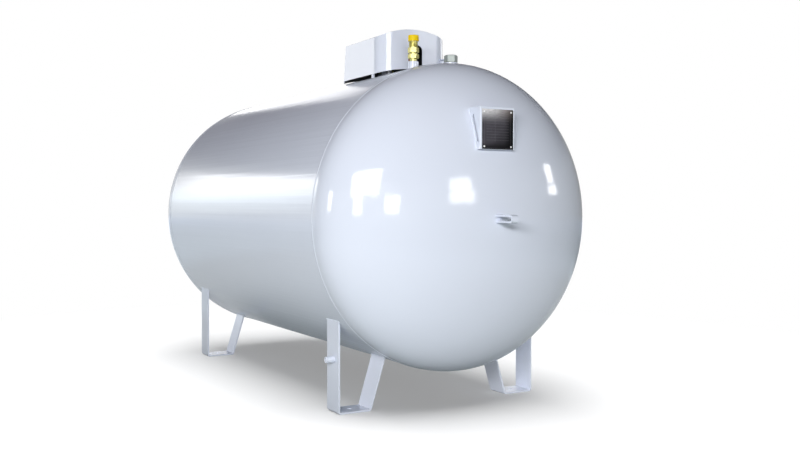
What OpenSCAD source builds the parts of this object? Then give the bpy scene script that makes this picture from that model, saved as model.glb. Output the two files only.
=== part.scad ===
// Horizontal pressure tank on four strap legs, with fittings under a hinged hood.
// The origin is on the ground under the tank's middle, +X runs along the tank
// towards the data plate, +Z is up.

/* [Tank] */
// Outside diameter of the shell
tank_d = 1250; // [1000:10:1500]
// Length of the shell between its two girth welds
shell_l = 1870; // [1700:10:3000]
// Wall of the shell and the heads
tank_wall = 6; // [4:0.5:10]
// Ratio of a head's radius to its depth
head_ratio = 2; // [1.8:0.05:2.6]
// Straight flange of a head
head_flange = 20; // [10:1:60]
// Gap between the shell and the ground
ground_gap = 150; // [100:1:300]
// Width of a girth weld
seam_w = 14; // [8:1:20]
// Height of a girth weld over the shell
seam_h = 2; // [1:0.5:4]

/* [Legs] */
// Distance between the middles of the front and back legs
leg_spacing = 1610; // [1200:2:1660]
// Width of the flat bar
leg_w = 105; // [80:1:150]
// Thickness of the flat bar
leg_t = 8; // [6:0.5:12]
// Distance of a leg's outer face inside the shell's side
leg_inset = 149; // [120:1:180]
// Length of a foot across the tank
foot_l = 150; // [120:1:160]
// Lean of the inner strap from the vertical, in degrees
leg_lean = 17; // [10:0.5:25]
// Inside radius of a bend
leg_bend = 4; // [3:1:16]
// Diameter of a foot's bolt hole
foot_hole_d = 20; // [12:1:26]
// Distance of a bolt hole from the leg's outer face
foot_hole_in = 75; // [60:1:80]

/* [Earthing boss] */
// Diameter of the boss
boss_d = 25; // [18:1:30]
// Length of the boss
boss_l = 36; // [25:1:50]
// Diameter of its threaded hole
boss_hole_d = 8.5; // [6.8:0.1:12]
// Depth of its threaded hole
boss_hole_l = 20; // [12:1:24]
// Distance of the boss from the leg's middle, towards the tank's end
boss_shift = 10; // [0:1:30]
// Height of the boss over the ground
boss_z = 215; // [120:1:300]

/* [End lugs] */
// Reach of a lug past the head
lug_l = 103; // [80:1:160]
// Height of a lug
lug_h = 30; // [26:1:60]
// Width of its flat bar across the tank
lug_w = 30; // [20:1:50]
// Thickness of its flat bar
lug_t = 7; // [5:0.5:7.5]
// Inside radius of its two bends
lug_bend = 5; // [2:0.5:5]

/* [Data plate] */
// Width of the bracket
bracket_w = 160; // [120:1:180]
// Height of the bracket
bracket_h = 160; // [120:1:200]
// Height of the bracket's lower edge over the tank's axis
bracket_rise = 262; // [200:1:300]
// Gap between the head and the bracket's front sheet at its lower edge
bracket_gap = 18; // [4:1:30]
// Thickness of the bracket's sheet
bracket_t = 3; // [2:0.5:5]
// Width of the slots in the bracket's sides
side_slot_w = 11; // [6:0.5:12]
// Length of the slots in the bracket's sides
side_slot_l = 112; // [40:1:120]
// Height of the middle of those slots over the bracket's lower edge
side_slot_h = 81; // [75:1:100]
// Distance from the head to the middle of those slots
side_slot_in = 9; // [8:0.5:12]
// Margin of bracket beside and over the plate
plate_margin = 8; // [2:0.5:12]
// Margin of bracket under the plate
plate_low = 1; // [0.5:0.5:12]
// Thickness of the plate
plate_t = 1; // [0.5:0.1:2]
// Diameter of a rivet's head
rivet_d = 7; // [4:0.5:10]
// Height of a rivet's head
rivet_h = 1.6; // [1:0.1:3]
// Distance from a rivet to the plate's edges
rivet_edge = 10; // [6:0.5:15]

/* [Hood] */
// Place of the hood's front wall along the tank
hood_front_x = 648; // [600:1:700]
// Place of the hood's lower back edge along the tank
hood_back_x = 292; // [250:1:320]
// Width of the hood
hood_w = 338; // [300:1:400]
// Height of the roof's ridge over the tank's crown
hood_h = 187; // [160:1:220]
// Radius of the arched roof
roof_r = 395; // [300:1:500]
// Radius of the hood's upright front corners
hood_corner_r = 65; // [20:1:100]
// Lean of the back wall from the upright, in degrees
hood_lean = 7.5; // [0:0.5:12]
// Sheet of the hood
hood_t = 2.5; // [1.5:0.1:4]
// Gap between the hood's front and side walls and the shell
hood_gap = 16; // [8:0.5:20]
// Gap between the hood's back wall and the shell
hood_back_gap = 5; // [5:0.5:12]
// Width of the pipe notch in the front wall
notch_w = 70; // [40:1:100]
// Height of the notch over the tank's crown
notch_h = 121; // [80:1:140]
// Radius of the notch's upper corners
notch_r = 22; // [5:1:30]
// Place of the rest pads along the tank
rest_x = 565; // [520:1:580]
// Length of a rest pad along the tank
rest_l = 10; // [6:1:30]
// Thickness of a rest pad
rest_t = 10; // [6:1:16]
// Gap between a rest pad and the closed hood
rest_gap = 0.4; // [0.3:0.1:1]

/* [Hinge] */
// Distance of the hinge axis behind the hood's lower back edge
hinge_back = 20; // [18:1:30]
// Height of the hinge axis over the tank's crown
hinge_h = 30; // [24:1:40]
// Diameter of the hinge pin
pin_d = 10; // [8:0.5:14]
// Clearance between the pin and each hole around it
pin_gap = 0.1; // [0.05:0.05:0.3]
// Distance from the tank's middle plane to the middle of an ear
ear_y = 104; // [60:1:120]
// Thickness of an ear
ear_t = 8; // [6:0.5:12]
// Rim of an ear around the pin
ear_rim = 8; // [5:0.5:10]
// Thickness of a strap on the hood
strap_t = 12; // [8:0.5:16]
// Rim of a strap around the pin
strap_rim = 6; // [4:0.5:8]
// Gap along the pin between an ear and a strap
strap_gap = 4; // [1:0.5:6]
// Diameter of the pin's heads
pin_head_d = 17; // [13:0.5:22]
// Thickness of the pin's heads
pin_head_t = 4; // [3:0.5:6]

/* [Padlock eyes] */
// Thickness of an eye
eye_t = 6; // [4:0.5:10]
// Width of an eye
eye_w = 22; // [16:1:30]
// Distance of the eyes inside the hood's side
eye_in = 29; // [24:1:45]
// Reach of an eye out of the hood's corner
eye_l = 24; // [20:1:30]
// Distance from the hole's middle to the eye's outer end
eye_hole_edge = 9; // [8:0.5:12]
// Diameter of the hole in an eye
eye_hole_d = 8; // [6:0.5:10]
// Height of the hood's eye over the tank's crown
eye_h = 64; // [40:1:90]
// Gap between the two eyes
eye_gap = 6; // [5:0.5:12]

/* [Filling valve and plug] */
// Place of both fittings along the tank
front_x = 800; // [760:1:860]
// Distance of the filling valve from the tank's middle plane
fill_y = 100; // [70:1:140]
// Diameter of its coupling
fill_coupling_d = 44; // [38:1:60]
// Height of its coupling over the tank's crown
fill_coupling_h = 22; // [15:1:40]
// Diameter of its lower neck
fill_foot_d = 30; // [24:1:36]
// Height of its lower neck
fill_foot_h = 11; // [6:1:20]
// Width across the flats of its hexes
fill_hex_af = 40; // [32:1:50]
// Height of its lower hex
fill_hex_h = 20; // [12:1:30]
// Diameter of the groove between the hexes
fill_groove_d = 34; // [26:1:38]
// Height of the groove between the hexes
fill_groove_h = 3; // [2:0.5:6]
// Height of its upper hex
fill_top_hex_h = 24; // [12:1:36]
// Diameter of its threaded neck
fill_neck_d = 37; // [26:1:38]
// Height of its threaded neck under the cap
fill_neck_h = 26; // [15:1:40]
// Diameter of its cap
fill_cap_d = 45.5; // [40:0.5:60]
// Height of its cap
fill_cap_h = 24; // [18:1:40]
// Top of the cap over the neck
cap_top_t = 5; // [3:0.5:8]
// Clearance between the cap and the neck
cap_gap = 0.2; // [0.1:0.1:0.5]
// Distance of the plug from the tank's middle plane
plug_y = 85; // [60:1:140]
// Diameter of the plug's coupling
plug_coupling_d = 60; // [54:1:70]
// Height of the plug's coupling over the tank's crown
plug_coupling_h = 30; // [15:1:50]
// Width across the flats of the plug's hex
plug_hex_af = 50; // [40:1:54]
// Height of the plug's hex
plug_hex_h = 32; // [20:1:40]

/* [Fittings under the hood] */
// Place of the level gauge along the tank
gauge_x = 385; // [370:1:400]
// Diameter of the level gauge's coupling
gauge_coupling_d = 76; // [60:1:90]
// Height of the level gauge's coupling over the tank's crown
gauge_coupling_h = 26; // [20:1:40]
// Diameter of the level gauge's flange
gauge_flange_d = 70; // [56:1:80]
// Thickness of the level gauge's flange
gauge_flange_h = 10; // [6:1:16]
// Diameter of the level gauge's dial
gauge_dial_d = 52; // [40:1:56]
// Height of the level gauge's dial
gauge_dial_h = 18; // [10:1:26]
// Place of the service valve and the relief valve along the tank
valve_x = 500; // [480:1:520]
// Distance of the service valve from the tank's middle plane
service_y = 60; // [50:1:80]
// Diameter of the service valve's coupling
service_coupling_d = 48; // [40:1:60]
// Height of the service valve's coupling over the tank's crown
service_coupling_h = 24; // [15:1:40]
// Width across the flats of the service valve's hex
service_hex_af = 38; // [30:1:46]
// Height of the service valve's hex
service_hex_h = 20; // [14:1:30]
// Diameter of the service valve's body
service_body_d = 32; // [24:1:36]
// Height of the service valve's body
service_body_h = 36; // [28:1:44]
// Diameter of the service valve's outlet
service_outlet_d = 24; // [18:1:30]
// Reach of the outlet from the valve's axis
service_outlet_l = 56; // [40:1:80]
// Diameter of the service valve's spindle
spindle_d = 9; // [6:0.5:14]
// Height of the service valve's spindle
spindle_h = 14; // [10:1:20]
// Diameter of the handwheel
wheel_d = 62; // [44:1:80]
// Thickness of the handwheel's rim
wheel_rim = 10; // [6:0.5:14]
// Number of the handwheel's spokes
wheel_spokes = 5; // [3:1:8]
// Width of a spoke
spoke_w = 8; // [5:0.5:12]
// Diameter of the handwheel's hub
hub_d = 20; // [16:1:26]
// Distance of the relief valve from the tank's middle plane
relief_y = 68; // [50:1:80]
// Diameter of the relief valve's coupling
relief_coupling_d = 54; // [44:1:60]
// Height of the relief valve's coupling over the tank's crown
relief_coupling_h = 24; // [15:1:40]
// Width across the flats of the relief valve's hex
relief_hex_af = 44; // [34:1:50]
// Height of the relief valve's hex
relief_hex_h = 16; // [10:1:26]
// Diameter of the relief valve's barrel
relief_barrel_d = 40; // [30:1:44]
// Height of the relief valve's barrel
relief_barrel_h = 44; // [30:1:50]
// Thickness of the rain cap's top over the barrel
rain_cap_t = 4; // [2:0.5:8]
// Depth of the rain cap's skirt
rain_cap_h = 10; // [6:1:16]
// Wall of the rain cap's skirt
rain_cap_wall = 3; // [2:0.5:5]

/* [Hidden] */
$fn = 96;
dome_steps = 40;
bend_steps = 8;
cut = 1;
white = [0.90, 0.90, 0.92];
steel = [0.62, 0.65, 0.63];
brass = [0.80, 0.62, 0.25];
yellow = [0.95, 0.72, 0.08];
dark = [0.22, 0.22, 0.23];
red = [0.70, 0.10, 0.08];
tank_r = tank_d/2;
axis_z = ground_gap + tank_r;
crown_z = axis_z + tank_r;
head_depth = tank_r/head_ratio;
seam_x = shell_l/2;
tip_x = seam_x + head_flange + head_depth;
long = 2*tip_x + 2*lug_l;
leg_x = leg_spacing/2;
leg_out_y = tank_r - leg_inset;
foot_hole_y = leg_out_y - foot_hole_in;
bend_out = leg_bend + leg_t;
ridge_z = crown_z + hood_h;
roof_z = ridge_z - roof_r;
hinge_x = hood_back_x - hinge_back;
hinge_z = crown_z + hinge_h;
strap_y = ear_y - ear_t/2 - strap_gap - strap_t/2;
bracket_z = axis_z + bracket_rise;
bracket_x = head_x(bracket_rise) + bracket_gap;
side_slot_rise = bracket_rise + side_slot_h;
side_slot_lean = atan(side_slot_rise*pow(head_depth/tank_r, 2)/(head_x(side_slot_rise) - head_x(tank_r)));
eye_y = hood_w/2 - eye_in;
eye_x = hood_front_x - hood_corner_r
    + sqrt(pow(hood_corner_r, 2) - pow(eye_y - hood_w/2 + hood_corner_r, 2));

// Place of the front head's surface along the tank, at a height over the tank's axis
function head_x(rise) = seam_x + head_flange + head_depth*sqrt(1 - pow(rise/tank_r, 2));

// Points on an arc about a centre, from one angle to another
function arc(centre, r, from, to, steps) =
    [for (i = [0:steps]) let (a = from + (to - from)*i/steps)
        centre + r*[cos(a), sin(a)]];

// One side of a head's section, from its weld to its tip
function dome(r, depth) =
    concat([[r, 0]], [for (i = [0:dome_steps]) let (a = 90*i/dome_steps)
        [r*cos(a), head_flange + depth*sin(a)]]);

// One face of a leg's bar, from the outer strap's top to the inner strap's top
function leg_face(r) =
    let (outer = [leg_out_y - bend_out, bend_out], inner = [leg_out_y - foot_l + bend_out, bend_out],
        end = leg_lean - 180, up = [-sin(leg_lean), cos(leg_lean)])
    concat([outer + [r, axis_z - bend_out]], arc(outer, r, 0, -90, bend_steps),
        arc(inner, r, -90, end, bend_steps),
        [inner + r*[cos(end), sin(end)] + (axis_z - tank_r)*2*up]);

function backwards(list) = [for (i = [len(list) - 1:-1:0]) list[i]];

// A round bar along the tank's axis, from one place to another
module along(r, from, to, z = axis_z)
    translate([from, 0, z])
        rotate([0, 90, 0])
            cylinder(r = r, h = to - from);

module tank_space()
    along(tank_r, -seam_x, seam_x);

module hex(af, h)
    cylinder(d = af/cos(30), h = h, $fn = 6);

// Stands children at a place on the crown
module on_crown(x, y, h = 0)
    translate([x, y, crown_z + h])
        children();

// Lays a drawing of width and height in the tank's long upright plane, thick across it
module upright(t)
    rotate([90, 0, 0])
        linear_extrude(height = t, center = true)
            children();

// A weld coupling, cut to the shell
module coupling(x, y, d, h)
    color(white)
        difference() {
            on_crown(x, y, -d)
                cylinder(d = d, h = d + h);
            tank_space();
        }

module shell()
    color(white)
        difference() {
            tank_space();
            along(tank_r - tank_wall, -seam_x - cut, seam_x + cut);
        }

// The head at +X: its walls, or the whole space that it closes
module head_form(hollow)
    translate([seam_x, 0, axis_z])
        rotate([0, 90, 0])
            rotate_extrude()
                polygon(concat(dome(tank_r, head_depth), hollow
                    ? backwards(dome(tank_r - tank_wall, head_depth - tank_wall)) : [[0, 0]]));

module front_head()
    color(white)
        head_form(true);

module back_head()
    mirror([1, 0, 0])
        front_head();

module front_seam()
    color(white)
        translate([seam_x, 0, axis_z])
            rotate([0, 90, 0])
                rotate_extrude()
                    polygon([for (i = [0:bend_steps]) let (a = 180*i/bend_steps - 90)
                        [tank_r + seam_h*cos(a), seam_w/2*sin(a)]]);

module back_seam()
    mirror([1, 0, 0])
        front_seam();

// The leg at +X and +Y
module leg()
    color(white)
        difference() {
            translate([leg_x - leg_w/2, 0, 0])
                rotate([90, 0, 90])
                    linear_extrude(height = leg_w)
                        polygon(concat(leg_face(bend_out), backwards(leg_face(leg_bend))));
            tank_space();
            translate([leg_x, foot_hole_y, -cut])
                cylinder(d = foot_hole_d, h = leg_t + 2*cut);
        }

module front_right_leg()
    leg();

module front_left_leg()
    mirror([0, 1, 0])
        leg();

module back_right_leg()
    mirror([1, 0, 0])
        leg();

module back_left_leg()
    mirror([1, 0, 0])
        mirror([0, 1, 0])
            leg();

module earthing_boss()
    color(white)
        translate([leg_x + boss_shift, -leg_out_y, boss_z])
            rotate([90, 0, 0])
                difference() {
                    cylinder(d = boss_d, h = boss_l);
                    translate([0, 0, boss_l - boss_hole_l])
                        cylinder(d = boss_hole_d, h = boss_hole_l + cut);
                }

module front_lug()
    color(white)
        difference() {
            translate([tip_x, 0, axis_z])
                upright(lug_w)
                    difference() {
                        lug_side(0);
                        lug_side(lug_t);
                    }
            head_form(false);
        }

// A lug's outline from the side, set in by a margin and open past the head
module lug_side(inset) {
    r = lug_bend + lug_t - inset;
    half = lug_h/2 - inset;
    root = lug_h + inset;
    translate([-root, -half])
        square([root + lug_l - inset - r, 2*half]);
    translate([-root, r - half])
        square([root + lug_l - inset, 2*half - 2*r]);
    for (z = [-1, 1]*(half - r))
        translate([lug_l - inset - r, z])
            circle(r = r);
}

module back_lug()
    mirror([1, 0, 0])
        front_lug();

module plate_bracket()
    color(white)
        difference() {
            translate([seam_x, -bracket_w/2, bracket_z])
                cube([bracket_x - seam_x, bracket_w, bracket_h]);
            translate([seam_x - cut, bracket_t - bracket_w/2, bracket_z - cut])
                cube([bracket_x - bracket_t - seam_x + cut, bracket_w - 2*bracket_t, bracket_h + 2*cut]);
            head_form(false);
            translate([head_x(side_slot_rise) + side_slot_in, 0, axis_z + side_slot_rise])
                upright(bracket_w + 2*cut)
                    rotate(side_slot_lean)
                        side_slot();
        }

module side_slot() {
    square([side_slot_w, side_slot_l - side_slot_w], center = true);
    for (y = [-1, 1]*(side_slot_l - side_slot_w)/2)
        translate([0, y])
            circle(d = side_slot_w);
}

module data_plate()
    color(dark)
        translate([bracket_x, plate_margin - bracket_w/2, bracket_z + plate_low])
            cube([plate_t, bracket_w - 2*plate_margin, bracket_h - plate_low - plate_margin]);

module plate_rivets()
    color(white)
        for (y = [-1, 1]*(bracket_w/2 - plate_margin - rivet_edge),
            z = [plate_low + rivet_edge, bracket_h - plate_margin - rivet_edge])
            translate([bracket_x + plate_t, y, bracket_z + z])
                rotate([0, 90, 0])
                    cylinder(d = rivet_d, h = rivet_h);

module fill_coupling()
    coupling(front_x, -fill_y, fill_coupling_d, fill_coupling_h);

module fill_valve()
    color(brass)
        on_crown(front_x, -fill_y, fill_coupling_h) {
            cylinder(d = fill_foot_d, h = fill_foot_h);
            translate([0, 0, fill_foot_h])
                hex(fill_hex_af, fill_hex_h);
            translate([0, 0, fill_foot_h + fill_hex_h])
                cylinder(d = fill_groove_d, h = fill_groove_h);
            translate([0, 0, fill_foot_h + fill_hex_h + fill_groove_h])
                hex(fill_hex_af, fill_top_hex_h);
            translate([0, 0, fill_foot_h + fill_hex_h + fill_groove_h + fill_top_hex_h])
                cylinder(d = fill_neck_d, h = fill_neck_h + fill_cap_h - cap_top_t);
        }

module fill_cap()
    color(yellow)
        on_crown(front_x, -fill_y, fill_coupling_h + fill_foot_h + fill_hex_h + fill_groove_h
            + fill_top_hex_h + fill_neck_h)
            difference() {
                cylinder(d = fill_cap_d, h = fill_cap_h);
                translate([0, 0, -cut])
                    cylinder(d = fill_neck_d + 2*cap_gap, h = fill_cap_h - cap_top_t + cut);
            }

module plug_coupling()
    coupling(front_x, plug_y, plug_coupling_d, plug_coupling_h);

module hex_plug()
    color(steel)
        on_crown(front_x, plug_y, plug_coupling_h)
            hex(plug_hex_af, plug_hex_h);

module gauge_coupling()
    coupling(gauge_x, 0, gauge_coupling_d, gauge_coupling_h);

module gauge_flange()
    color(brass)
        on_crown(gauge_x, 0, gauge_coupling_h)
            cylinder(d = gauge_flange_d, h = gauge_flange_h);

module gauge_dial()
    color(dark)
        on_crown(gauge_x, 0, gauge_coupling_h + gauge_flange_h)
            cylinder(d = gauge_dial_d, h = gauge_dial_h);

module service_coupling()
    coupling(valve_x, -service_y, service_coupling_d, service_coupling_h);

module service_valve()
    color(brass)
        on_crown(valve_x, -service_y, service_coupling_h) {
            hex(service_hex_af, service_hex_h);
            translate([0, 0, service_hex_h])
                cylinder(d = service_body_d, h = service_body_h);
            translate([0, 0, service_hex_h + service_body_h/2])
                rotate([0, 90, 0])
                    cylinder(d = service_outlet_d, h = service_outlet_l);
            translate([0, 0, service_hex_h + service_body_h])
                cylinder(d = spindle_d, h = spindle_h);
        }

module service_wheel()
    color(dark)
        on_crown(valve_x, -service_y, service_coupling_h + service_hex_h + service_body_h + spindle_h) {
            cylinder(d = hub_d, h = wheel_rim);
            for (i = [0:wheel_spokes - 1])
                rotate(360*i/wheel_spokes)
                    translate([0, -spoke_w/2, 0])
                        cube([wheel_d/2 - wheel_rim/2, spoke_w, wheel_rim/2]);
            difference() {
                cylinder(d = wheel_d, h = wheel_rim);
                translate([0, 0, -cut])
                    cylinder(d = wheel_d - 2*wheel_rim, h = wheel_rim + 2*cut);
            }
        }

module relief_coupling()
    coupling(valve_x, relief_y, relief_coupling_d, relief_coupling_h);

module relief_valve()
    color(brass)
        on_crown(valve_x, relief_y, relief_coupling_h) {
            hex(relief_hex_af, relief_hex_h);
            translate([0, 0, relief_hex_h])
                cylinder(d = relief_barrel_d, h = relief_barrel_h);
        }

module relief_cap()
    color(red)
        on_crown(valve_x, relief_y, relief_coupling_h + relief_hex_h + relief_barrel_h - rain_cap_h)
            difference() {
                cylinder(d = relief_barrel_d + 2*rain_cap_wall, h = rain_cap_h + rain_cap_t);
                translate([0, 0, -cut])
                    cylinder(d = relief_barrel_d + 2*cap_gap, h = rain_cap_h + cut);
            }

module hinge_ears()
    color(white)
        difference() {
            for (y = [-ear_y, ear_y])
                translate([hinge_x, y, hinge_z])
                    upright(ear_t)
                        difference() {
                            union() {
                                circle(d = pin_d + 2*ear_rim);
                                translate([-pin_d/2 - ear_rim, -hinge_h - ear_y])
                                    square([pin_d + 2*ear_rim, hinge_h + ear_y]);
                            }
                            circle(d = pin_d + 2*pin_gap);
                        }
            tank_space();
        }

module hinge_pin()
    color(steel)
        translate([hinge_x, 0, hinge_z])
            rotate([90, 0, 0]) {
                cylinder(d = pin_d, h = 2*ear_y + ear_t, center = true);
                for (y = [-1, 1]*(ear_y + ear_t/2 + pin_head_t/2))
                    translate([0, 0, y])
                        cylinder(d = pin_head_d, h = pin_head_t, center = true);
            }

module hood_rests()
    color(white)
        intersection() {
            for (y = [-1, 1]*(hood_w/2 - rest_t/2))
                translate([rest_x - rest_l/2, y - rest_t/2, axis_z])
                    cube([rest_l, rest_t, 2*tank_r]);
            difference() {
                along(tank_r + hood_gap - rest_gap, 0, seam_x);
                tank_space();
            }
        }

// The hood's outline from above, set in by a margin and open past its back
module hood_plan(inset) {
    r = hood_corner_r - inset;
    translate([hood_back_x - hood_w, inset - hood_w/2])
        square([hood_front_x - hood_corner_r - hood_back_x + hood_w, hood_w - 2*inset]);
    translate([hood_back_x - hood_w, hood_corner_r - hood_w/2])
        square([hood_front_x - inset - hood_back_x + hood_w, hood_w - 2*hood_corner_r]);
    for (y = [-1, 1]*(hood_w/2 - hood_corner_r))
        translate([hood_front_x - hood_corner_r, y])
            circle(r = r);
}

// All that lies behind the hood's back wall, moved forward by a margin
module behind_hood(inset)
    translate([hood_back_x, 0, crown_z])
        rotate([0, hood_lean, 0])
            translate([inset - long, -hood_w, -hood_w])
                cube([long, 2*hood_w, 2*hood_w + 2*hood_h]);

// The hood as a block between the shell and a roof set in by a margin
module hood_block(inset, gap = hood_gap)
    difference() {
        intersection() {
            translate([0, 0, axis_z])
                linear_extrude(height = 2*tank_r)
                    hood_plan(0);
            along(roof_r - inset, 0, seam_x, roof_z);
        }
        along(tank_r + gap, 0, seam_x);
        behind_hood(0);
    }

module hood_wall()
    color(white)
        difference() {
            hood_block(hood_t);
            translate([0, 0, axis_z - cut])
                linear_extrude(height = 2*tank_r + 2*cut)
                    hood_plan(hood_t);
            behind_hood(hood_t);
            translate([hood_front_x - hood_corner_r, 0, axis_z])
                rotate([90, 0, 90])
                    linear_extrude(height = 2*hood_corner_r)
                        notch();
        }

// The pipe notch, drawn across the tank from its axis up
module notch() {
    top = tank_r + notch_h;
    translate([-notch_w/2, 0])
        square([notch_w, top - notch_r]);
    translate([notch_r - notch_w/2, 0])
        square([notch_w - 2*notch_r, top]);
    for (y = [-1, 1]*(notch_w/2 - notch_r))
        translate([y, top - notch_r])
            circle(r = notch_r);
}

module hood_back()
    color(white)
        intersection() {
            hood_block(hood_t, hood_back_gap);
            behind_hood(hood_t);
        }

module hood_roof()
    color(white)
        difference() {
            hood_block(0);
            along(roof_r - hood_t, 0, seam_x, roof_z);
        }

module hinge_straps()
    color(white)
        intersection() {
            for (y = [-strap_y, strap_y])
                translate([hinge_x, y, hinge_z])
                    upright(strap_t)
                        difference() {
                            union() {
                                circle(d = pin_d + 2*strap_rim);
                                translate([0, -pin_d/2 - strap_rim])
                                    square([2*hinge_back, pin_d + 2*strap_rim]);
                            }
                            circle(d = pin_d + 2*pin_gap);
                        }
            behind_hood(0);
        }

// Places children at the hood's front right corner, at a height over the crown
module at_corner(h)
    translate([eye_x, eye_y, crown_z + h])
        children();

// The holes for the padlock's shackle through both eyes
module shackle_hole()
    at_corner(0)
        translate([eye_l - eye_hole_edge, 0, 0])
            cylinder(d = eye_hole_d, h = 2*eye_h);

module hood_eye()
    color(white)
        difference() {
            at_corner(eye_h)
                translate([-hood_corner_r/4, -eye_w/2, 0])
                    cube([hood_corner_r/4 + eye_l, eye_w, eye_t]);
            translate([0, 0, axis_z])
                linear_extrude(height = 2*tank_r)
                    hood_plan(0);
            shackle_hole();
        }

// The tank's eye, bent from an upright strip that stands clear of the hood
module tank_eye()
    color(white)
        difference() {
            at_corner(eye_h - eye_gap)
                upright(eye_w)
                    polygon([[eye_gap, 0], [eye_gap, -eye_t], [eye_l, -eye_t], [eye_l, -2*eye_h],
                        [eye_l + eye_t, -2*eye_h], [eye_l + eye_t, 0]]);
            tank_space();
            shackle_hole();
        }

shell();
front_head();
back_head();
front_seam();
back_seam();
front_left_leg();
front_right_leg();
back_left_leg();
back_right_leg();
earthing_boss();
front_lug();
back_lug();
plate_bracket();
data_plate();
plate_rivets();
fill_coupling();
fill_valve();
fill_cap();
plug_coupling();
hex_plug();
gauge_coupling();
gauge_flange();
gauge_dial();
service_coupling();
service_valve();
service_wheel();
relief_coupling();
relief_valve();
relief_cap();
hinge_ears();
hinge_pin();
hood_rests();
tank_eye();
hood_wall();
hood_back();
hood_roof();
hinge_straps();
hood_eye();
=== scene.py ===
# Looks of a horizontal pressure tank on four strap legs, with its fittings under a hinged hood.
# All sizes are in metres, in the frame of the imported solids.
import math

import bmesh
import bpy
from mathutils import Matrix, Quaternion, Vector


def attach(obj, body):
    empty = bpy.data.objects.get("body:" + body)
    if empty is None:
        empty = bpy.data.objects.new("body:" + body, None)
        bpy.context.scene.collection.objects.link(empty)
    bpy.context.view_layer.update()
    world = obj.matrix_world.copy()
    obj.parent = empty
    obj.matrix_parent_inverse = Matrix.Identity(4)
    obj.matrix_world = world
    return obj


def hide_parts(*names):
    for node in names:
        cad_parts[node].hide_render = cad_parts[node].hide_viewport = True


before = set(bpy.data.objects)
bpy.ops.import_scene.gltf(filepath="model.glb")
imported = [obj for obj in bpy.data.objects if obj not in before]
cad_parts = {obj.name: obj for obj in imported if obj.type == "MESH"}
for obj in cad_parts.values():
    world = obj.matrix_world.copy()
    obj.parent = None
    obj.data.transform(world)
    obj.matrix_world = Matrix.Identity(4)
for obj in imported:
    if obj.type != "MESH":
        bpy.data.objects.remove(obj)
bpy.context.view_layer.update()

ALONG = Vector((1, 0, 0))
ACROSS = Vector((0, 1, 0))
UP = Vector((0, 0, 1))
MERGE = 0.00001
ROUND = 256
FINE_ROUND = 96
SMALL_ROUND = 64
FACING = 0.9
CRISP = 30
SOFT = 60
ENDS = ((1, "front"), (-1, "back"))
SIDES = ((1, "right"), (-1, "left"))

# Tank
TANK_R = 0.625
WALL = 0.006
AXIS_Z = 0.775
AXIS = Vector((0, 0, AXIS_Z))
CROWN_Z = AXIS_Z + TANK_R
SEAM_X = 0.935
FLANGE = 0.020
HEAD_DEPTH = TANK_R/2
TIP_X = SEAM_X + FLANGE + HEAD_DEPTH
SEAM_W = 0.014
SEAM_H = 0.002
DOME_STEPS = 56

# Legs
LEG_X = 0.805
LEG_W = 0.105
LEG_T = 0.008
LEG_OUT = 0.476
FOOT_L = 0.150
LEG_LEAN = math.radians(17)
LEG_BEND = 0.012
FOOT_HOLE_Y = 0.401
FOOT_HOLE_D = 0.020
LEG_EDGE = 0.0012
LEG_TOP = AXIS_Z - 0.6*TANK_R
LEG_SPARE = 0.30
LEG_BEAD = 0.003

# Earthing boss
BOSS = Vector((0.815, -LEG_OUT, 0.215))
BOSS_D = 0.025
BOSS_L = 0.036
BOSS_HOLE_D = 0.0085
BOSS_HOLE_L = 0.020
BOSS_RIM = 0.0008
BOSS_POINT = 0.002
BOSS_EDGE = 0.0012

# Lugs
LUG_L = 0.103
LUG_H = 0.030
LUG_W = 0.030
LUG_T = 0.007
LUG_BEND = 0.012
LUG_EDGE = 0.0014
LUG_BEAD = 0.0022

# Data plate and its bracket
BRACKET_W = 0.160
BRACKET_H = 0.160
BRACKET_Z = 1.037
BRACKET_GAP = 0.018
BRACKET_T = 0.003
BRACKET_BEND = 0.004
BRACKET_EDGE = 0.0005
BRACKET_BEAD = 0.0026
SIDE_SLOT_W = 0.011
SIDE_SLOT_L = 0.112
SIDE_SLOT_Z = 1.118
SIDE_SLOT_IN = 0.009
PLATE_MARGIN = 0.008
PLATE_LOW = 0.001
PLATE_T = 0.001
PLATE_CORNER = 0.003
PLATE_EDGE = 0.0003
FORM_ROW = 0.0105
FORM_LINE = 0.0009
FORM_SPLIT = 0.012
FORM_W = 0.104
FORM_H = 0.096
BORDER_W = 0.122
BORDER_H = 0.142
BORDER_END = 0.0005
RIVET_D = 0.007
RIVET_H = 0.0016
RIVET_EDGE = 0.010

# Hood
HOOD_FRONT = 0.648
HOOD_BACK = 0.292
HOOD_W = 0.338
RIDGE_Z = 1.587
ROOF_R = 0.395
HOOD_CORNER = 0.065
HOOD_LEAN = math.radians(7.5)
HOOD_T = 0.0025
HOOD_EDGE = 0.0015
HOOD_DOWN = 0.15
HOOD_OVER = 0.05
HOOD_GAP = 0.016
HOOD_BACK_GAP = 0.005
NOTCH_W = 0.070
NOTCH_Z = 1.521
NOTCH_R = 0.022

# Hinge
HINGE = Vector((0.272, 0, 1.430))
HINGE_EAR = 0.104
EAR_L = 0.026
EAR_T = 0.008
EAR_BEAD = 0.0025

# Fittings in front of the hood
FRONT_X = 0.800
FILL = Vector((FRONT_X, -0.100, CROWN_Z))
PLUG = Vector((FRONT_X, 0.085, CROWN_Z))

# Fittings under the hood
GAUGE = Vector((0.385, 0, CROWN_Z))
SERVICE = Vector((0.500, -0.060, CROWN_Z))
RELIEF = Vector((0.500, 0.068, CROWN_Z))
SOCKET_DEPTH = 0.004
SOCKET_EDGE = 0.0015
SOCKET_BEAD = 0.0035
HEX_END = 0.93
HEX_EDGE = 0.0006
THREAD_PITCH = 0.0022
THREAD_DEPTH = 0.0009

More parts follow.
